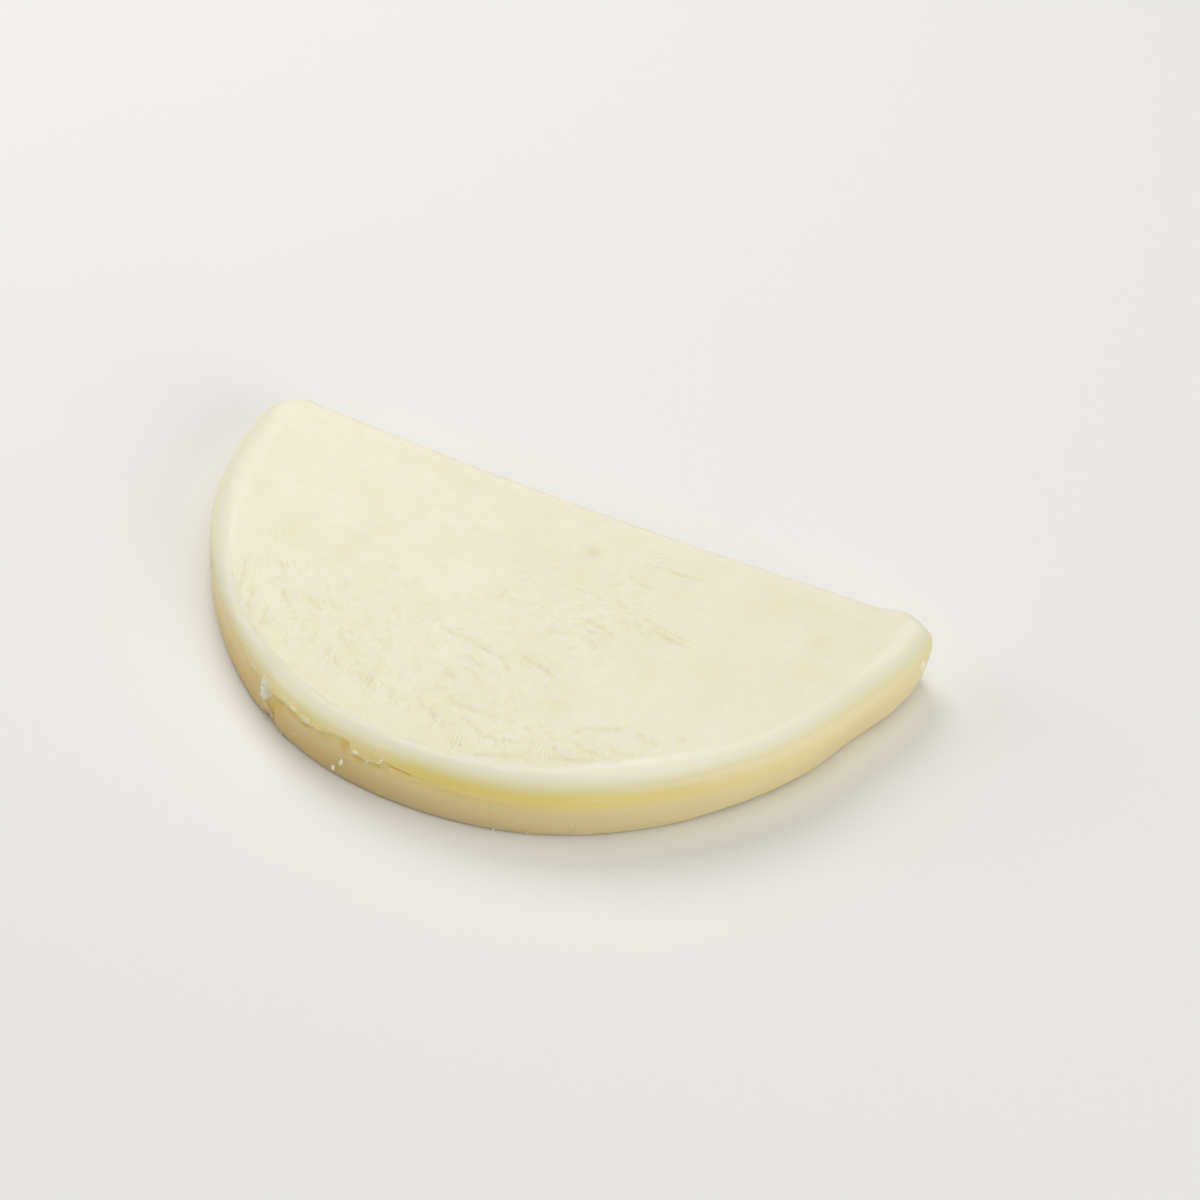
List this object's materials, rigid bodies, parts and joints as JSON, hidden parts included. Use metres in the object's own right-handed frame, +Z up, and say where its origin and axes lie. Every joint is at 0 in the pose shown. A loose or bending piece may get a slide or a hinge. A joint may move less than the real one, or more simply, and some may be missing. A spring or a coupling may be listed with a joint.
{
  "type": "half-round of provolone cheese",
  "caption": "Thick half-round of pale yellow cheese with a straight cut side, a soft rounded rim and a lightly wrinkled top, for serving or display.",
  "frame": {"origin": "the flat bottom, under the middle of the part's box", "axes": "+X along the straight cut from the left tip to the right tip, +Y out of the straight cut, so the round side faces -Y, +Z up through the thickness"},
  "size_m": [0.1684, 0.0872, 0.0155],
  "materials": {
    "provolone_paste": "pale cream-yellow cheese, slightly waxy and translucent, with a satin sheen"
  },
  "bodies": {
    "root": {"provolone_half_round": "provolone_paste"}
  },
  "joints": []
}
